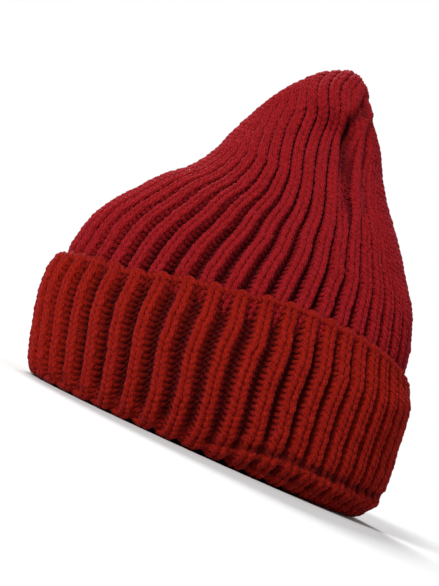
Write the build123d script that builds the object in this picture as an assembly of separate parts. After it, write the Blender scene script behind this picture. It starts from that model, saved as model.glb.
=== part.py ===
from build123d import *
import math
import os

os.makedirs("parts", exist_ok=True)

# A chunky ribbed knit beanie with a wide turned-up cuff and a soft pointed peak, as worn.
# +Z is up, -Y is the front, and the hat stands on its rim, centred on the origin. Millimetres.

# Driving dimensions
cuff_width = 212.0  # left to right over the cuff, at its widest
depth_ratio = 0.87  # front to back over left to right, the oval of a head
fabric = 5.0  # thickness of one layer of the rib knit
cuff_height = 74.0  # the cuff's top edge above the rim, at the sides
cuff_rise = 14.0  # how much higher that edge is at the front, and lower at the back
fold_height = 10.0  # the rounded fold that the hat stands on
fold_flat = 4.0  # width of the flat that it stands on
fold_steps = 4  # straight runs that make each side of the fold
bead_height = 3.5  # the cast-on edge along the cuff's top
crown_width = 192.0  # left to right over the crown, where it comes out of the cuff
peak_base = 150.0  # height where the dome ends and the peak begins
hat_height = 219.0
peak_flop = 20.0  # degrees that the peak tips back
split_gap = 0.5  # clear gap between pieces on different bodies
seam_width = 3.0  # the ridge of the back seam, inside the hat
seam_thickness = 1.2
seam_top = 204.0  # where the back seam runs out, under the gather
peak_back = 50.0  # how far behind the middle the peak's base reaches
gather_radius = 2.4  # the drawn-up yarn that closes the peak
gather_clearance = 0.1
gather_tail = 3.0  # how far the gather yarn reaches below the knit, inside the peak
knot_radius = 3.2

cuff_half = cuff_width / 2
crown_half = crown_width / 2
cuff_foot = cuff_half - 3.0  # half the width where the cuff meets the fold
crown_foot = crown_half - 1.0  # half the width where the inner band meets the fold
band_top = cuff_height - cuff_rise  # the back of the cuff's edge, the lowest place on it
gather_height = fabric + gather_tail
flop_slope = math.tan(math.radians(peak_flop))
foot_depth = 1.0  # how far the fold is drawn below the ground before it is cut level
tall = 500.0  # longer than the hat in every direction

# The hat is drawn round, as half a section of (half width, height), then drawn in from front to back.
# The cuff bulges at its middle and draws in to its top edge.
cuff_outline = [
    (cuff_foot, fold_height),
    (cuff_half - 1.4, 0.35 * cuff_height),
    (cuff_half, 0.62 * cuff_height),
    (cuff_half - 1.2, 0.83 * cuff_height),
    (cuff_half - 3.4, cuff_height),
    (cuff_half - 4.2, cuff_height + 2 * cuff_rise),
]

# The tube of the crown: a straight band under the cuff, a dome, a hollow shoulder, and a blunt peak.
crown_outline = [
    (crown_foot, fold_height + split_gap),
    (crown_half - 0.5, 40.0),
    (crown_half, 80.0),
    (crown_half - 1.6, 92.0),
    (89.4, 104.0),
    (81.2, 118.0),
    (61.0, 142.5),
    (47.0, 164.0),
    (39.5, 178.0),
    (31.5, 192.0),
    (21.0, 206.0),
    (12.5, 215.5),
    (gather_radius + gather_clearance, hat_height),
]


def inward(outline, place):
    """The direction square to the outline at one of its points, towards the inside of the hat."""
    before = outline[max(place - 1, 0)]
    after = outline[min(place + 1, len(outline) - 1)]
    run = after[0] - before[0]
    rise = after[1] - before[1]
    length = math.hypot(run, rise)
    return -rise / length, run / length


def layer(outline, outer_depth, inner_depth):
    """Half a section of a layer that lies between two depths below the outline."""

    def sunk(depth):
        points = []
        for place, (half_width, height) in enumerate(outline):
            across, up = inward(outline, place)
            points.append((half_width + depth * across, height + depth * up))
        return points

    return make_face(Polyline(*sunk(outer_depth), *reversed(sunk(inner_depth)), close=True))


def between(low, high):
    """The part of the half section between two heights."""
    return Pos(tall / 2, (low + high) / 2) * Rectangle(tall, high - low)


def turned(half_section, degrees=360.0):
    """The solid that the half section makes, turned about the hat's middle from the back."""
    start = Plane.XZ.rotated((0, 0, 90 - degrees / 2))
    return revolve(start * half_section, Axis.Z, degrees)


def drawn_in(shape):
    """The round shape drawn in from front to back, to the oval of a head."""
    return scale(shape, by=(1, depth_ratio, 1))


def space_above(height, rise):
    """All the space above a plane that stands at height, and rise higher at the cuff's front."""
    slope = math.degrees(math.atan2(rise, cuff_half))
    return Pos(0, 0, height) * Rot(-slope, 0, 0) * Pos(0, 0, tall / 2) * Box(tall, tall, tall)


def cut_level(shape):
    """The shape without what lies below the surface that the hat stands on."""
    return shape - Pos(0, 0, -tall / 2) * Box(tall, tall, tall)


def make_cuff():
    """The turned-up layer, from the fold to the cast-on edge."""
    return turned(layer(cuff_outline, 0, fabric)) - space_above(cuff_height, cuff_rise)


def make_cast_on_edge():
    """The firm edge where the knitting began, along the cuff's top."""
    wall = turned(layer(cuff_outline, 0, fabric))
    return (wall & space_above(cuff_height, cuff_rise)) - space_above(cuff_height + bead_height, cuff_rise)


def make_cuff_fold():
    """The rounded fold between the cuff and the inner band, with a foot to be cut level."""
    inside = crown_foot - fabric
    middle = (cuff_foot + inside) / 2
    reach = (cuff_foot - inside - fold_flat) / 2
    side = []
    for step in range(fold_steps + 1):
        turn = math.pi / 2 * step / fold_steps
        side.append((fold_flat / 2 + reach * math.cos(turn), fold_height * (1 - math.sin(turn))))
    side.append((fold_flat / 2, -foot_depth))
    outer_side = [(middle + across, up) for across, up in side]
    inner_side = [(middle - across, up) for across, up in reversed(side)]
    return turned(make_face(Polyline(*outer_side, *inner_side, close=True)))


def make_peak():
    """The peak, clear of the crown below it however far it tips back."""
    wall = turned(layer(crown_outline, 0, fabric) & between(peak_base + split_gap, tall))
    rise_at_side = -cuff_half * depth_ratio * flop_slope
    opening = Cylinder(gather_radius + gather_clearance, 2 * tall)
    return (wall & space_above(peak_base + split_gap, rise_at_side)) - opening


def seam(outline, low, high):
    """A stretch of the back seam: a low ridge on the layer's inner face, down the centre of the back."""
    ridge = layer(outline, fabric, fabric + seam_thickness) & between(low, high)
    radius = (outline[0][0] + outline[-1][0]) / 2
    return turned(ridge, math.degrees(seam_width / radius))


def make_gather_yarn():
    """The yarn drawn through the last stitches, wound tight in the opening of the peak."""
    return Pos(0, 0, hat_height - gather_height / 2) * Cylinder(gather_radius, gather_height)


def make_gather_knot():
    """The knot that holds the gather, inside the peak."""
    return Pos(0, 0, hat_height - gather_height - knot_radius) * Sphere(knot_radius)


crown_wall = layer(crown_outline, 0, fabric)
peak_seam_low = peak_base + split_gap + peak_back * flop_slope

round_nodes = {
    "cuff": make_cuff(),
    "cast_on_edge": make_cast_on_edge(),
    "cuff_fold": make_cuff_fold(),
    "inner_band": turned(crown_wall & between(0, band_top)),
    "crown": turned(crown_wall & between(band_top, peak_base)),
    "crown_peak": make_peak(),
    "gather_yarn": make_gather_yarn(),
    "gather_knot": make_gather_knot(),
    "back_seam_cuff": seam(cuff_outline, fold_height, band_top),
    "back_seam_crown": seam(crown_outline, fold_height, peak_base),
    "back_seam_peak": seam(crown_outline, peak_seam_low, seam_top),
}

nodes = {name: drawn_in(shape) for name, shape in round_nodes.items()}
nodes["cuff_fold"] = cut_level(nodes["cuff_fold"])

for name, shape in nodes.items():
    export_step(shape, f"parts/{name}.step")
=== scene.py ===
import math
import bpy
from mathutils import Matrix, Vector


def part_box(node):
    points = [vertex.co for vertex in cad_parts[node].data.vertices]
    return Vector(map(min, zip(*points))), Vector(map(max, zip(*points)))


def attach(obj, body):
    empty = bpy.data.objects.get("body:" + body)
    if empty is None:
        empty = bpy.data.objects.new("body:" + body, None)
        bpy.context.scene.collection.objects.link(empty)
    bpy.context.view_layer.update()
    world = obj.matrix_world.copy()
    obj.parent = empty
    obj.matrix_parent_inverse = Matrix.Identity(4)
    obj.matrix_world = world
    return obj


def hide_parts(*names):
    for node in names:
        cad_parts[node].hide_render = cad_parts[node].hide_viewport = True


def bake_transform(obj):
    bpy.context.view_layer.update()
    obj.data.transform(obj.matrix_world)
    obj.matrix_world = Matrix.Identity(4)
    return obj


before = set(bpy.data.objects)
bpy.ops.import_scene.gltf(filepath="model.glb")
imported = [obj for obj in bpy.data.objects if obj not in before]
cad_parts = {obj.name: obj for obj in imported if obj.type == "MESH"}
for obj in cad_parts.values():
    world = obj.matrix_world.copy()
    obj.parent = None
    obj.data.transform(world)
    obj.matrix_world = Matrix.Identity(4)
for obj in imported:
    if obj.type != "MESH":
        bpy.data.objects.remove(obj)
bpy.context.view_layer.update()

from types import SimpleNamespace

import bpy
import numpy as np
from mathutils import Matrix, Vector

# The hat is worked out in millimetres and turned into metres when its meshes are made.
MM = 0.001
rng = np.random.default_rng(7)


def cad_size(node):
    """A CAD node's lowest and highest corners, in millimetres."""
    low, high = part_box(node)
    return np.array(low) / MM, np.array(high) / MM


# Driving dimensions, from the frame
cuff_half = cad_size("cuff")[1][0]
depth_ratio = cad_size("cuff")[1][1] / cuff_half
crown_half = cad_size("inner_band")[1][0]
edge_low = cad_size("inner_band")[1][2]
edge_high = cad_size("cast_on_edge")[1][2]

# The knitting
RIBS = 46  # knit ribs round the hat, each with a purl gutter beside it
ROW = 3.05  # from row to row up the crown
CUFF_ROW = 3.25  # from row to row down the cuff
CUFF_ROWS = 29  # from the cuff's top edge, round under the fold, to the end of its inner side
YARN = 1.5  # the yarn's radius
LEG_DEPTH = 0.8  # how far a stitch's legs stand before or behind its row
RIB_RELIEF = 3.0  # how far a rib stands out, and a gutter in, from the middle of the fabric
FLUSH = 0.8  # the share of that relief where the ribs fade out
FLUSH_SHADE = 0.6  # the painted shade of the wool there, between a gutter (-1) and a rib (1)
SURFACE = YARN + LEG_DEPTH + FLUSH * RIB_RELIEF  # how deep the fabric's middle lies under its surface
LINING = 1.2  # thickness of the matted wool between the stitches
LINING_ROWS = 120
LINING_POINTS = 8 * RIBS
CLOSEST = 6.7  # the least that a rib and its gutter measure together
MOST_CROWDED = 0.42  # how strongly the ribs can crowd towards the back
SIDES = 6  # sides of a yarn
STEPS = 12  # points along one stitch
# How far a stitch strays: along and up as shares of its width and of a row, and out in millimetres
UNEVEN = np.array([0.02, 0.05, 0.12])
TUCKED_IN = 3.9  # how much less the crown's half width is where the cuff covers it


# --- The hat's two surfaces -------------------------------------------------------------------

def smooth(low, high, value):
    """0 below low, 1 above high, and a soft step between them."""
    share = np.clip((value - low) / (high - low), 0.0, 1.0)
    return share * share * (3.0 - 2.0 * share)


def bump(value, centre, width):
    """A soft bump of height 1."""
    return np.exp(-(((value - centre) / width) ** 2))


def through(points, place):
    """A smooth curve through rows of points; place counts from 0 at the first point."""
    points = np.asarray(points, float)
    last = len(points) - 1
    place = np.clip(place, 0.0, last - 1e-6)
    cell = place.astype(int)
    t = (place - cell)[..., None]
    before = points[np.maximum(cell - 1, 0)]
    start = points[cell]
    end = points[cell + 1]
    after = points[np.minimum(cell + 2, last)]
    return 0.5 * (
        2.0 * start
        + (end - before) * t
        + (2.0 * before - 5.0 * start + 4.0 * end - after) * t**2
        + (3.0 * start - before - 3.0 * end + after) * t**3
    )


# Sections of the crown: height, half width, place to the side, set back, lean back in degrees.
CROWN = [
    (20.0, crown_half - 4.5, 1.0, 0.0, 0.0),
    (50.0, crown_half - 3.0, 0.0, 0.0, 0.0),
    (68.0, crown_half + 0.6, -4.0, 0.0, 0.0),
    (78.0, crown_half, -4.0, 0.0, 0.0),
    (90.0, crown_half - 2.2, -3.6, 0.0, 0.0),
    (102.0, 88.7, -2.5, 0.0, 0.0),
    (114.0, 81.6, -0.5, 0.0, 0.0),
    (126.0, 72.7, 0.4, 0.0, 0.0),
    (138.0, 62.1, 2.9, 0.0, 0.0),
    (150.0, 53.7, 2.5, 1.0, 0.0),
    (162.0, 46.6, 0.0, 2.0, 0.0),
    (174.0, 40.2, -1.4, 3.5, -2.0),
    (186.0, 34.2, -1.9, 4.0, -2.0),
    (196.0, 26.8, -3.2, 1.0, 4.0),
    (204.0, 19.4, -3.8, -0.5, 14.0),
    (208.8, 15.8, -2.2, 2.0, 29.0),
    (210.9, 13.8, -0.8, 5.2, 43.0),
    (210.7, 10.2, 0.2, 9.3, 57.0),
    (208.9, 5.0, 0.6, 12.0, 65.0),
]


def crown_place_of(rows):
    """Where rows fall along the crown's sections, spaced evenly up its side."""
    fine = np.linspace(0.0, len(CROWN) - 1, 400)
    side = through(CROWN, fine)
    steps = np.linalg.norm(np.diff(side[:, :3], axis=0), axis=1)
    length = np.concatenate([[0.0], np.cumsum(steps)])
    return np.interp(rows * ROW, length, fine), length[-1]


def crown_skin(angle, rows):
    """The crown's outer surface. Angle 0 is the front, and pi / 2 the hat's +X side."""
    section = through(CROWN, crown_place_of(rows)[0])
    height, half, aside, back, lean = np.moveaxis(section, -1, 0)
    lean = np.radians(lean)
    covered = 1.0 - smooth(-20.0, -1.0, height - edge_height(angle))
    angle = angle - twist(height)
    half = half + crown_relief(angle, height, half) - TUCKED_IN * covered
    depth = half * depth_ratio
    return np.stack(
        [
            half * np.sin(angle) + aside,
            back - depth * np.cos(angle) * np.cos(lean),
            height + depth * np.cos(angle) * np.sin(lean),
        ],
        axis=-1,
    )


def twist(height):
    """How far the crown's ribs turn to the left on their way up the peak."""
    return np.radians(6.0 * smooth(110.0, 185.0, height) + 24.0 * smooth(186.0, 214.0, height))


def fold_angle(height):
    """Where the peak's crease runs, counted along the ribs."""
    return np.radians(24.0 + 38.0 * smooth(191.0, 208.0, height)) + twist(height)


def crown_relief(angle, height, half):
    """The crown's creases, dents and slight unevenness, as growth outwards."""
    fade = smooth(134.0, 150.0, height) * (1.0 - smooth(203.0, 210.0, height))
    second_fade = smooth(140.0, 156.0, height) * (1.0 - smooth(190.0, 200.0, height))
    across = (angle - fold_angle(height) + twist(height)) * half
    fold = -4.8 * bump(across, 0.0, 2.8) + 2.6 * bump(across, 6.5, 4.0) + 1.2 * bump(across, -6.0, 4.0)
    second = -3.2 * bump(across, 13.0, 2.2) * second_fade
    dent = -7.0 * bump((angle - 0.15) * half, 0.0, 13.0) * bump(height, 182.0, 7.5)
    brow = 3.6 * bump((angle + 0.05) * half, 0.0, 14.0) * bump(height, 197.0, 7.0)
    slow = 0.5 * np.sin(3.0 * angle + height / 31.0 + 0.6) + 0.4 * np.sin(5.0 * angle - height / 19.0)
    return fade * (fold + second) + dent + brow + slow * smooth(60.0, 110.0, height)


def crown_ribs(angle, height):
    """How strongly the crown's ribs stand out."""
    return 1.0 - 0.2 * smooth(150.0, 200.0, height)


def crown_painted_crease_shade(angle, height):
    """Painted shade in the creases of the peak: how much darker the crown's wool is painted there."""
    peak_half = 30.0
    across = (angle - fold_angle(height)) * peak_half
    fade = smooth(150.0, 170.0, height) * (1.0 - smooth(203.0, 210.0, height))
    return 1.8 * bump(across, 0.0, 2.2) * fade


# The cuff's path round from its top edge, down its outside, under the fold and up inside:
# how far the surface lies inside the widest place, its height, and its place to the side.
CUFF = [
    (12.0, edge_high + 8.0, -4.0),
    (7.0, 80.0, -2.6),
    (2.6, 67.0, -0.8),
    (0.5, 57.0, -1.0),
    (0.0, 43.0, -0.2),
    (1.0, 26.0, 2.6),
    (2.9, 14.0, 3.9),
    (6.4, 5.0, 3.6),
    (11.5, 0.6, 2.5),
    (16.0, 1.8, 1.2),
    (19.0, 8.0, 0.4),
    (20.0, 20.0, 0.0),
    (20.0, 45.0, 0.0),
]
TURNS_UNDER = 7.0  # the place on the path, counted from its first row, where it turns under


def edge_height(angle):
    """The height of the cuff's top edge: highest right of the front, and lowest at the back."""
    cord_room = 3.2
    arch = ((1.0 + np.cos(angle - 0.42)) / 2.0) ** 2
    sag = -4.6 * bump(angle, -0.65, 0.3) - 3.0 * bump(angle, -0.12, 0.28)
    return edge_low + (edge_high - edge_low - cord_room) * arch + sag


def cuff_skin(angle, rows):
    """The cuff's surface, row 0 along its top edge, facing outwards and then under and inwards."""
    fine = np.linspace(0.0, len(CUFF) - 1, 500)
    path = through(CUFF, fine)
    steps = np.linalg.norm(np.diff(path[:, :2], axis=0), axis=1)
    length = np.concatenate([[0.0], np.cumsum(steps)])
    outside = fine < TURNS_UNDER
    start = np.interp(-edge_height(angle), -path[outside, 1], length[outside])
    place = np.interp(start + rows * CUFF_ROW, length, fine)
    inset, height, aside = np.moveaxis(through(CUFF, place), -1, 0)
    lean = 0.13 * bump(angle, -1.1, 0.8)
    angle = angle + lean * (1.0 - height / edge_high) * (1.0 - smooth(9.0, 17.0, inset))
    half = cuff_half - inset + cuff_relief(angle, height, inset)
    depth = half * depth_ratio - 0.13 * inset
    return np.stack([half * np.sin(angle) + aside, -depth * np.cos(angle), height], axis=-1)


def tuck_height(angle):
    """The height of the tuck, which comes up from the fold right of the front."""
    return 2.0 + 15.0 * smooth(-0.3, 0.5, angle)


def tuck_strength(angle):
    """How strong the tuck is: it runs from the front to the hat's +X side."""
    return smooth(-0.2, 0.35, angle) * (1.0 - smooth(1.25, 1.9, angle))


def cuff_relief(angle, height, inset):
    """The tuck and its welt over the fold, and the cuff's slight unevenness."""
    above = height - tuck_height(angle)
    tuck = -2.2 * bump(above, 0.0, 1.5) + 1.6 * bump(above, -5.0, 2.8) - 1.6 * bump(above, -10.5, 2.0)
    slow = 0.6 * np.sin(3.0 * angle + 1.1) + 0.5 * np.sin(5.0 * angle + height / 25.0)
    outer = 1.0 - smooth(7.0, 12.0, inset)
    return outer * (tuck_strength(angle) * tuck + slow * smooth(5.0, 30.0, height))


def cuff_ribs(angle, height):
    """How strongly the cuff's ribs stand out: weak along the fold and the welt."""
    above = height - tuck_height(angle)
    welt = 0.9 * bump(above, -2.0, 5.0) - 0.9 * bump(above, -10.5, 2.2)
    near_edge = 0.3 + 0.7 * smooth(0.0, 8.0, edge_height(angle) - height)
    return (0.3 + 0.7 * smooth(2.0, 12.0, height)) * near_edge * (1.0 - welt * tuck_strength(angle))


def cuff_painted_crease_shade(angle, height):
    """Painted shade along the tuck and along the row below its welt: how much darker the cuff's wool is
    painted there.
    """
    above = height - tuck_height(angle)
    return (1.5 * bump(above, 0.0, 1.3) + 0.9 * bump(above, -10.5, 1.6)) * tuck_strength(angle)


# --- Where the ribs run -----------------------------------------------------------------------

def uneven(turn, stretch):
    """The angle that a place in the knitting comes to: the knitting is stretched wider left of the
    front and lies closer right of it, and the back seam stays at the back."""
    middle = 0.1 - 2.5 * stretch

    def wave(place):
        """A rounded zigzag round the hat, highest at middle."""
        return np.cos(place - middle) + np.cos(3.0 * (place - middle)) / 9.0

    return turn + 4.0 / math.pi * stretch * (wave(turn) - wave(math.pi))


def rib_bounds(fabric, girth):
    """One row's stitches round the hat: the angles where they meet, and which are knit, in front.

    Where the girth is too small for every rib, they crowd together towards the back, and then the
    ones at the back run out into the back seam.
    The ribs keep their width, and the gutters between them open and close."""
    crowding = min(max(CLOSEST * RIBS / girth - 1.0, 0.0), MOST_CROWDED)
    step = 2.0 * math.pi / min(RIBS, (1.0 + MOST_CROWDED) * girth / CLOSEST)
    centres = (np.arange(-RIBS // 2, RIBS // 2) + 0.5) * step
    centres = centres[np.abs(centres) < math.pi - 0.45 * step] + fabric.offset * step

    def crowded(turn):
        """A turn moved towards the back."""
        return turn + crowding * math.sin(turn)

    edges = []
    for centre in centres:
        left = crowded(centre - step / 2)
        right = crowded(centre + step / 2)
        pitch = (uneven(right, fabric.stretch) - uneven(left, fabric.stretch)) * girth / (2.0 * math.pi)
        knit = min(fabric.widest_rib / pitch, 0.9) * step
        edges += [crowded(centre - knit / 2), crowded(centre + knit / 2)]
    edges.append(edges[0] + 2.0 * math.pi)
    edges = np.array(edges)
    is_knit = np.arange(len(edges) - 1) % 2 == 0
    return edges, is_knit


def girth_of(skin, row):
    """How far it is round the hat along one row."""
    angle = np.linspace(-math.pi, math.pi, 121)
    points = skin(angle, np.full_like(angle, float(row)))
    return float(np.linalg.norm(np.diff(points, axis=0), axis=1).sum())


# --- Knitting ---------------------------------------------------------------------------------

def stitch_shape(knit, upside_down):
    """One stitch's loop in STEPS points: how far along, how far up the row, its rib and its weave."""
    t = 2.0 * math.pi * (np.arange(STEPS) + 0.5) / STEPS
    slant = 0.21 if knit else 0.12
    along = t / (2.0 * math.pi) + slant * np.sin(2.0 * t) + 0.05 * np.sin(t)
    side = 1.0 if knit else -1.0
    up = -0.93 * np.cos(t) - side * 0.5 * (along - 0.5)
    if upside_down:
        up = -up
    rib = side * np.sqrt(np.sin(math.pi * along))
    weave = -side * LEG_DEPTH * np.minimum(1.0, 2.2 * np.sin(t / 2.0)) * np.cos(2.0 * t)
    return along, up, rib, weave


def knit_row(fabric, row, edges, is_knit):
    """The middle line of one row's yarn, closed round the hat, with the surface's normals, and its
    painted shade, from a gutter or a crease (-1) to a rib (1)."""
    angles, rows, rib_parts, weaves = [], [], [], []
    for place, knit in enumerate(is_knit):
        along, up, rib, weave = stitch_shape(knit, fabric.upside_down)
        left, right = edges[place], edges[place + 1]
        stray_along, stray_up, stray_out = UNEVEN * rng.normal(0.0, 1.0, 3)
        angles.append(left + (right - left) * (along + stray_along))
        rows.append(row + up + stray_up)
        rib_parts.append(rib)
        weaves.append(weave + stray_out)
    angle = uneven(np.concatenate(angles), fabric.stretch)
    rows = np.concatenate(rows)
    points = fabric.skin(angle, rows)
    rib = np.concatenate(rib_parts)
    strength = fabric.ribs(angle, points[:, 2])
    forward = RIB_RELIEF * (rib * strength + FLUSH * (1.0 - strength)) + np.concatenate(weaves)
    normal = normals(fabric, angle, rows)
    # Painted shade: darker in the gutters and along the creases, lighter on the ribs.
    painted_shade = rib * strength + FLUSH_SHADE * (1.0 - strength) - fabric.crease(angle, points[:, 2])
    return points + normal * (forward - SURFACE)[:, None], normal, painted_shade


def unit(vectors):
    """Vectors made 1 long."""
    return vectors / np.linalg.norm(vectors, axis=-1)[..., None]


def normals(fabric, angle, rows):
    """The directions straight out of a surface."""
    small_turn = 0.02
    small_rise = 0.1
    across = fabric.skin(angle + small_turn, rows) - fabric.skin(angle - small_turn, rows)
    upward = fabric.skin(angle, rows + small_rise) - fabric.skin(angle, rows - small_rise)
    if fabric.upside_down:
        upward = -upward
    return unit(np.cross(across, upward))


def soften(line):
    """Rounds a closed line's kinks."""
    return 0.25 * np.roll(line, 1, axis=0) + 0.5 * line + 0.25 * np.roll(line, -1, axis=0)


def directions(line, closed):
    """The directions along a line, from point to point."""
    if closed:
        return unit(np.roll(line, -1, axis=0) - np.roll(line, 1, axis=0))
    return unit(np.gradient(line, axis=0))


def tube(line, normal, radius, closed=True):
    """The skin of a yarn: a ring of SIDES points round each point of its middle line."""
    ahead = directions(line, closed)
    out = unit(normal - ahead * (normal * ahead).sum(axis=1)[:, None])
    side = np.cross(ahead, out)
    turn = 2.0 * math.pi * np.arange(SIDES) / SIDES
    ring = np.cos(turn)[None, :, None] * out[:, None, :] + np.sin(turn)[None, :, None] * side[:, None, :]
    return line[:, None, :] + ring * np.broadcast_to(radius, len(line))[:, None, None]


def grid_quads(rings, count, closed=True):
    """The four-sided faces between rings of count points, and from the last to the first if closed."""
    here = np.arange(rings if closed else rings - 1)[:, None]
    ahead = (here + 1) % rings
    turn = np.arange(count)[None, :]
    beside = (turn + 1) % count
    corners = [here * count + turn, here * count + beside, ahead * count + beside, ahead * count + turn]
    return np.stack(corners, -1).reshape(-1, 4)


def mesh_of_tubes(name, tubes, closed=True, painted_shades=None):
    """One mesh from yarns, with the yarn's length and turn as its surface coordinates, and the painted
    shade of each point of the middle lines, darker the deeper it stands among the ribs."""
    points, quads, places = [], [], []
    first = 0
    for rings in tubes:
        count = len(rings)
        middle = rings.mean(axis=1)
        steps = np.linalg.norm(np.roll(middle, -1, axis=0) - middle, axis=1)
        run = np.concatenate([[0.0], np.cumsum(steps)])
        quads.append(first + grid_quads(count, SIDES, closed))
        here = np.arange(count if closed else count - 1)[:, None]
        turn = np.arange(SIDES)[None, :]
        along = np.stack([run[here], run[here], run[here + 1], run[here + 1]], -1)
        around = np.stack([turn, turn + 1, turn + 1, turn], -1) / SIDES
        shape = (len(here), SIDES, 4)
        place = np.stack([np.broadcast_to(along, shape), np.broadcast_to(around, shape)], -1)
        places.append(place.reshape(-1, 2))
        points.append(rings.reshape(-1, 3))
        first += count * SIDES
        if not closed:
            far_end = first - SIDES + np.arange(SIDES)
            near_end = first - count * SIDES + np.arange(SIDES)[::-1]
            for end in (far_end, near_end):
                halves = np.array([end[[0, 1, 2, 3]], end[[3, 4, 5, 0]]])
                quads.append(halves)
                places.append(np.zeros((halves.size, 2)))
    piece = mesh_from(name, np.concatenate(points), np.concatenate(quads), np.concatenate(places))
    # Painted shade of each ring: 1, no shade, where none is given.
    depth = np.ones(first // SIDES) if painted_shades is None else np.concatenate(painted_shades)
    add_painted_shade(piece, np.repeat(depth, SIDES))
    return piece


def add_painted_shade(piece, values):
    """Notes on each point of a mesh its painted shade: light on a rib (1), dark in a gutter or a crease
    (-1).
    """
    shade = piece.data.attributes.new("painted_shade", "FLOAT", "POINT")
    shade.data.foreach_set("value", values.astype(np.float32).ravel())


def mesh_from(name, points, quads, places=None):
    """A smooth mesh object from points in millimetres and four-sided faces."""
    mesh = bpy.data.meshes.new(name)
    mesh.vertices.add(len(points))
    mesh.vertices.foreach_set("co", (points * MM).astype(np.float32).ravel())
    mesh.loops.add(quads.size)
    mesh.loops.foreach_set("vertex_index", quads.astype(np.int32).ravel())
    mesh.polygons.add(len(quads))
    mesh.polygons.foreach_set("loop_start", np.arange(0, quads.size, 4, dtype=np.int32))
    mesh.polygons.foreach_set("use_smooth", np.ones(len(quads), bool))
    mesh.update(calc_edges=True)
    if places is not None:
        layer = mesh.uv_layers.new(name="yarn")
        layer.data.foreach_set("uv", places.astype(np.float32).ravel())
    mesh.validate()
    piece = bpy.data.objects.new(name, mesh)
    bpy.context.scene.collection.objects.link(piece)
    return piece


def knit_rows(name, fabric, first, last):
    """A piece of knitting: rows first to last of one surface, each a closed yarn."""
    tubes, painted_shades = [], []
    for row in range(first, last):
        edges, is_knit = rib_bounds(fabric, girth_of(fabric.skin, row))
        line, normal, painted_shade = knit_row(fabric, row, edges, is_knit)
        line = soften(line)
        swell = 1.0 + 0.06 * rng.normal(0.0, 1.0, len(is_knit)) + np.where(is_knit, 0.1, -0.24)
        radius = YARN * soften(soften(np.repeat(swell, STEPS)[:, None]))[:, 0]
        tubes.append(tube(line, normal, radius))
        painted_shades.append(painted_shade)
    return mesh_of_tubes(name, tubes, painted_shades=painted_shades)


def lining(name, fabric, last):
    """The matted wool between the stitches: a closed sheet that follows the ribs, in and out, with
    painted shade that is darkest in the gutters.
    """
    turn = np.linspace(-math.pi, math.pi, LINING_POINTS + 1)[:-1]
    rows = np.linspace(0.0, last, LINING_ROWS)
    waves = []
    for row in rows:
        edges, is_knit = rib_bounds(fabric, girth_of(fabric.skin, row))
        wrapped = edges[0] + np.mod(turn - edges[0], 2.0 * math.pi)
        place = np.clip(np.searchsorted(edges, wrapped, side="right") - 1, 0, len(is_knit) - 1)
        share = (wrapped - edges[place]) / (edges[place + 1] - edges[place])
        waves.append(np.where(is_knit[place], 1.0, -1.0) * np.sqrt(np.sin(math.pi * share)))
    angle, row = np.meshgrid(uneven(turn, fabric.stretch), rows)
    points = fabric.skin(angle, row)
    normal = normals(fabric, angle, row)
    strength = fabric.ribs(angle, points[..., 2])
    wave = np.where(np.array(waves) > 0.0, 0.95, 1.15) * np.array(waves)
    forward = RIB_RELIEF * (wave * strength + FLUSH * (1.0 - strength)) - SURFACE
    outer = points + normal * (forward + LINING / 2)[..., None]
    inner = points + normal * (forward - LINING / 2)[..., None]
    sheet = np.concatenate([outer, inner[::-1]])
    if fabric.upside_down:
        sheet = np.concatenate([inner, outer[::-1]])
    piece = mesh_from(name, sheet.reshape(-1, 3), grid_quads(*sheet.shape[:2]))
    # Painted shade on the sheet: darkest in the gutters, lighter behind the ribs.
    painted_shade = np.where(wave > 0.0, 0.5, 1.3) * wave * strength
    add_painted_shade(piece, np.concatenate([painted_shade, painted_shade[::-1]]))
    return piece


def plied(name, line, normal, radius, strands, lay, closed):
    """A cord of several strands twisted round one middle line, with lay points to each turn."""
    overlap = 1.08
    ahead = directions(line, closed)
    side = unit(np.cross(ahead, normal))
    out = np.cross(side, ahead)
    tubes = []
    for strand in range(strands):
        turn = 2.0 * math.pi * (np.arange(len(line)) / lay + strand / strands)
        away = np.cos(turn)[:, None] * out + np.sin(turn)[:, None] * side
        tubes.append(tube(line + away * radius, away, radius * overlap, closed))
    return mesh_of_tubes(name, tubes, closed)


# --- Materials --------------------------------------------------------------------------------

def node(tree, kind, **values):
    """A shader node with its plain inputs and settings set by name."""
    made = tree.nodes.new(kind)
    for key, value in values.items():
        if key in made.inputs:
            made.inputs[key].default_value = value
        else:
            setattr(made, key, value)
    return made


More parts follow.
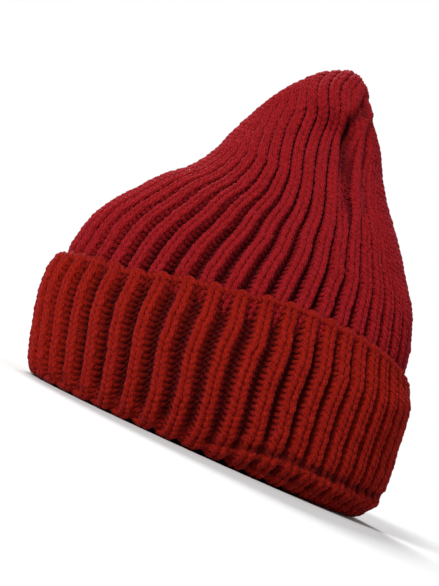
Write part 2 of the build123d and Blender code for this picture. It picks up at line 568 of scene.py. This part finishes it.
def wool(name, dark, light, sheen):
    """Soft dyed wool: plies twisted along the yarn, fibres, uneven dye, and painted shade between the
    plies and in the gutters and creases.
    """
    material = bpy.data.materials.new(name)
    material.use_nodes = True
    tree = material.node_tree
    tree.nodes.clear()
    links = tree.links
    out = node(tree, "ShaderNodeOutputMaterial")
    shader = node(tree, "ShaderNodeBsdfPrincipled", Roughness=0.85)
    shader.inputs["Sheen Weight"].default_value = sheen
    shader.inputs["Sheen Roughness"].default_value = 0.4
    shader.inputs["Sheen Tint"].default_value = (1.0, 0.16, 0.29, 1.0)
    shader.inputs["Specular IOR Level"].default_value = 0.06
    coords = node(tree, "ShaderNodeTexCoord")
    uv = node(tree, "ShaderNodeUVMap", uv_map="yarn")
    lay = node(tree, "ShaderNodeMapping")
    lay.inputs["Scale"].default_value = (0.28, 3.0, 1.0)
    plies = node(tree, "ShaderNodeTexWave", Scale=1.0, Distortion=0.6, Detail=1.0)
    plies.bands_direction = "DIAGONAL"
    plies.inputs["Detail Scale"].default_value = 2.0
    fibres = node(tree, "ShaderNodeTexNoise", Scale=900.0, Detail=4.0, Roughness=0.7)
    dye = node(tree, "ShaderNodeTexNoise", Scale=420.0, Detail=3.0, Roughness=0.6)
    links.new(uv.outputs["UV"], lay.inputs["Vector"])
    links.new(lay.outputs["Vector"], plies.inputs["Vector"])
    links.new(coords.outputs["Object"], fibres.inputs["Vector"])
    links.new(coords.outputs["Object"], dye.inputs["Vector"])
    # The plies' bands darken the colour between the plies: painted shade, added to the uneven dye.
    ply_shade_share = 0.35
    dye_and_ply_shade = node(tree, "ShaderNodeMath", operation="MULTIPLY_ADD")
    dye_and_ply_shade.inputs[1].default_value = ply_shade_share
    links.new(plies.outputs["Fac"], dye_and_ply_shade.inputs[0])
    links.new(dye.outputs["Fac"], dye_and_ply_shade.inputs[2])
    ramp = node(tree, "ShaderNodeValToRGB")
    ramp.color_ramp.elements[0].position = 0.35
    ramp.color_ramp.elements[0].color = (*dark, 1.0)
    ramp.color_ramp.elements[1].position = 0.95
    ramp.color_ramp.elements[1].color = (*light, 1.0)
    links.new(dye_and_ply_shade.outputs["Value"], ramp.inputs["Fac"])
    # Painted shade: the colour is darkened, down to 0.22 of its dark end, in the gutters, in the creases
    # and along the tuck.
    painted_shade = node(tree, "ShaderNodeAttribute", attribute_name="painted_shade")
    depth = node(tree, "ShaderNodeMapRange")
    depth.inputs["From Min"].default_value = -1.4
    depth.inputs["From Max"].default_value = 0.9
    depth.inputs["To Min"].default_value = 1.0
    depth.inputs["To Max"].default_value = 0.0
    deepest_painted_shade = 0.22
    painted_shade_mix = node(tree, "ShaderNodeMix", data_type="RGBA")
    painted_shade_mix.inputs["B"].default_value = (*(deepest_painted_shade * part for part in dark), 1.0)
    links.new(painted_shade.outputs["Fac"], depth.inputs["Value"])
    links.new(depth.outputs["Result"], painted_shade_mix.inputs["Factor"])
    links.new(ramp.outputs["Color"], painted_shade_mix.inputs["A"])
    links.new(painted_shade_mix.outputs["Result"], shader.inputs["Base Color"])
    fuzz = node(tree, "ShaderNodeBump", Strength=0.35, Distance=0.0006)
    ply_bump = node(tree, "ShaderNodeBump", Strength=0.4, Distance=0.0008)
    links.new(fibres.outputs["Fac"], fuzz.inputs["Height"])
    links.new(plies.outputs["Fac"], ply_bump.inputs["Height"])
    links.new(fuzz.outputs["Normal"], ply_bump.inputs["Normal"])
    links.new(ply_bump.outputs["Normal"], shader.inputs["Normal"])
    links.new(shader.outputs["BSDF"], out.inputs["Surface"])
    return material


def plain(name, colour, roughness):
    """The studio's own surfaces."""
    material = bpy.data.materials.new(name)
    material.use_nodes = True
    shader = material.node_tree.nodes["Principled BSDF"]
    shader.inputs["Base Color"].default_value = (*colour, 1.0)
    shader.inputs["Roughness"].default_value = roughness
    return material


# crown_wool's lighter end is pinker than cuff_wool's, though both are the same yarn: a painted tint of
# the light from above on the crown.
crown_wool = wool("crown_wool", (0.15, 0.002, 0.002), (0.31, 0.010, 0.014), 0.15)
cuff_wool = wool("cuff_wool", (0.15, 0.003, 0.001), (0.31, 0.011, 0.004), 0.13)
# The same wool painted about three times darker for the yarns inside the hat: painted shade.
inner_wool_painted_shade = wool("inner_wool_painted_shade", (0.04, 0.001, 0.0004), (0.10, 0.002, 0.001), 0.02)


# --- The hat ----------------------------------------------------------------------------------

crown_fabric = SimpleNamespace(
    skin=crown_skin, ribs=crown_ribs, crease=crown_painted_crease_shade,
    stretch=0.04, widest_rib=8.0, offset=0.0, upside_down=False,
)
cuff_fabric = SimpleNamespace(
    skin=cuff_skin, ribs=cuff_ribs, crease=cuff_painted_crease_shade,
    stretch=0.14, widest_rib=8.6, offset=0.5, upside_down=True,
)


def finish_piece(piece, material, slot, *stands_for):
    """Gives a piece its wool and hides the CAD nodes that it stands for. The slot is not used."""
    piece.data.materials.append(material)
    if stands_for:
        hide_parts(*stands_for)


def make_crown():
    """The knitted crown from under the cuff to the tip, in bands."""
    rows = int(crown_place_of(np.array([0.0]))[1] / ROW)
    bands = 6
    cuts = np.linspace(2, rows, bands + 1).astype(int)
    stands_for = [("inner_band",), (), ("crown",), (), ("crown_peak",), ()]
    for band in range(bands):
        piece = knit_rows(f"crown_knit_{band + 1}", crown_fabric, cuts[band], cuts[band + 1])
        finish_piece(piece, crown_wool, "crown_knit", *stands_for[band])
        bend_with_peak(piece)
    ground = lining("crown_lining", crown_fabric, rows - 1.5)
    finish_piece(ground, crown_wool, "crown_knit")
    bend_with_peak(ground)
    return rows


def bend_with_peak(piece):
    """Applies a piece's place to its mesh, without bending it."""
    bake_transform(piece)


def make_cuff():
    """The turned-up cuff, upside down, from its cast-on edge round under the fold."""
    bands = 2
    cuts = np.linspace(0, CUFF_ROWS, bands + 1).astype(int)
    stands_for = [("cuff",), ("cuff_fold",)]
    for band in range(bands):
        piece = knit_rows(f"cuff_knit_{band + 1}", cuff_fabric, cuts[band], cuts[band + 1])
        finish_piece(piece, cuff_wool, "cuff_knit", *stands_for[band])
        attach(piece, "cuff_body")
    ground = lining("cuff_lining", cuff_fabric, CUFF_ROWS - 1.0)
    finish_piece(ground, cuff_wool, "cuff_knit")
    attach(ground, "cuff_body")


def make_cast_on_edge():
    """The cord of first stitches along the cuff's top, arched over each gutter."""
    points = 24 * RIBS
    turn = 2.0 * math.pi * np.arange(points) / points - math.pi
    rib_wave = np.cos(RIBS * turn)
    angle = uneven(turn, cuff_fabric.stretch)
    row = -0.1 - 0.08 * rib_wave + 0.05 * np.sin(7.0 * turn)
    depth = 2.6 - 0.6 * rib_wave
    outwards = np.stack([np.sin(angle), -np.cos(angle), np.zeros(points)], -1)
    line = cuff_skin(angle, row) - outwards * depth[:, None]
    piece = plied("cast_on_cord", line, outwards, radius=1.05, strands=2, lay=11.5, closed=True)
    finish_piece(piece, cuff_wool, "cuff_knit", "cast_on_edge")
    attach(piece, "cuff_body")


def make_gather():
    """The yarn wound tight in the peak's opening, and the knot that holds it inside."""
    height, _, aside, back, lean = CROWN[-1]
    lean = math.radians(lean)
    outwards = np.array([0.0, math.sin(lean), math.cos(lean)])
    upward = np.array([0.0, -math.cos(lean), math.sin(lean)])
    sideways = np.array([1.0, 0.0, 0.0])
    sunk = 2.4
    middle = np.array([aside, back, height]) - outwards * sunk
    points = 110
    turn = np.linspace(0.0, 6.5 * math.pi, points)
    reach = np.linspace(6.0, 0.5, points)
    rise = np.linspace(0.0, 1.6, points)
    coil = middle + sideways * (reach * np.cos(turn))[:, None] + upward * (reach * np.sin(turn))[:, None]
    coil = coil + outwards * rise[:, None]
    normal = np.broadcast_to(outwards, coil.shape)
    coil_yarn = 1.1
    piece = mesh_of_tubes("gather_coil", [tube(coil, normal, coil_yarn, closed=False)], closed=False)
    finish_piece(piece, crown_wool, "sewing_yarn", "gather_yarn")
    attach(piece, "peak_body")
    knot_points = 96
    turn = 2.0 * math.pi * np.arange(knot_points) / knot_points
    loops = np.stack(
        [
            np.sin(turn) + 2.0 * np.sin(2.0 * turn),
            np.cos(turn) - 2.0 * np.cos(2.0 * turn),
            -1.3 * np.sin(3.0 * turn),
        ],
        axis=-1,
    )
    knot_depth = 7.0
    knot_yarn = 0.95
    knot = loops + middle - outwards * knot_depth
    piece = mesh_of_tubes("gather_overhand_knot", [tube(knot, unit(loops), knot_yarn)])
    finish_piece(piece, inner_wool_painted_shade, "sewing_yarn", "gather_knot")
    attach(piece, "peak_body")


def make_seam(name, fabric, first, last, depth, body, node_name):
    """A stretch of the back seam: a laid yarn, sewn to and fro across the join."""
    points_a_row = 8
    sway = 0.875
    rows = np.linspace(first, last, int(abs(last - first) * points_a_row))
    angle = math.pi + sway * np.sin(2.0 * math.pi * rows) / cuff_half
    line = fabric.skin(angle, rows)
    normal = normals(fabric, angle, rows)
    piece = plied(name, line - normal * depth, normal, radius=0.7, strands=2, lay=9.0, closed=False)
    finish_piece(piece, inner_wool_painted_shade, "sewing_yarn", node_name)
    if body == "peak_body":
        bend_with_peak(piece)
    else:
        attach(piece, body)


def make_back_seam(crown_rows):
    """The back seam on the hat's inner face, in the cuff, the crown and the peak."""
    gap = 0.4
    inside = SURFACE + RIB_RELIEF + YARN + gap
    bend = int(0.55 * crown_rows)
    crown_end = crown_rows - 10.0
    cuff_end = CUFF_ROWS - 11.0
    make_seam("seam_yarn_crown", crown_fabric, 1.0, bend, inside, "crown_body", "back_seam_crown")
    make_seam("seam_yarn_peak", crown_fabric, bend, crown_end, inside, "peak_body", "back_seam_peak")
    make_seam("seam_yarn_cuff", cuff_fabric, 1.0, cuff_end, inside, "cuff_body", "back_seam_cuff")


crown_rows = make_crown()
make_cuff()
make_cast_on_edge()
make_gather()
make_back_seam(crown_rows)


# --- Studio -----------------------------------------------------------------------------------

def make_floor():
    """The pale floor that the hat stands on."""
    mesh = bpy.data.meshes.new("floor")
    reach = 6.0
    corners = [(-reach, -reach, 0), (reach, -reach, 0), (reach, reach, 0), (-reach, reach, 0)]
    mesh.from_pydata(corners, [], [(0, 1, 2, 3)])
    floor = bpy.data.objects.new("floor", mesh)
    bpy.context.scene.collection.objects.link(floor)
    mesh.materials.append(plain("floor_white", (0.64, 0.64, 0.64), 0.9))


def make_sun(name, place, strength, softness):
    """A soft light from a long way off, that shines from place towards the hat."""
    data = bpy.data.lights.new(name, "SUN")
    data.energy = strength
    data.angle = math.radians(softness)
    lamp = bpy.data.objects.new(name, data)
    lamp.location = place
    lamp.rotation_euler = (-Vector(place)).to_track_quat("-Z", "Y").to_euler()
    bpy.context.scene.collection.objects.link(lamp)


def make_world():
    """A white studio: the camera sees plain white, and the walls light the hat less than that."""
    world = bpy.data.worlds.new("studio")
    world.use_nodes = True
    tree = world.node_tree
    background = tree.nodes["Background"]
    background.inputs["Color"].default_value = (1.0, 1.0, 1.0, 1.0)
    path = tree.nodes.new("ShaderNodeLightPath")
    brightness = tree.nodes.new("ShaderNodeMapRange")
    brightness.inputs["To Min"].default_value = 0.42
    brightness.inputs["To Max"].default_value = 1.0
    tree.links.new(path.outputs["Is Camera Ray"], brightness.inputs["Value"])
    tree.links.new(brightness.outputs["Result"], background.inputs["Strength"])
    bpy.context.scene.world = world


def make_camera():
    """A low camera in front of the hat, turned about its own line of sight."""
    aside = -0.017
    data = bpy.data.cameras.new("camera")
    data.lens = 154.0
    camera = bpy.data.objects.new("camera", data)
    target = Vector((aside, 0.0, 0.081))
    camera.location = (aside, -1.35, 0.045)
    aim = (target - camera.location).to_track_quat("-Z", "Y")
    roll = Matrix.Rotation(math.radians(24.3), 4, "Z")
    camera.matrix_world = Matrix.Translation(camera.location) @ aim.to_matrix().to_4x4() @ roll
    bpy.context.scene.collection.objects.link(camera)
    bpy.context.scene.camera = camera


make_floor()
make_sun("key", (-0.7, -1.0, 1.0), 2.8, 16.0)
make_sun("rim", (-0.3, 0.9, 0.85), 2.8, 16.0)
make_world()
make_camera()
bpy.context.scene.view_settings.view_transform = "Standard"
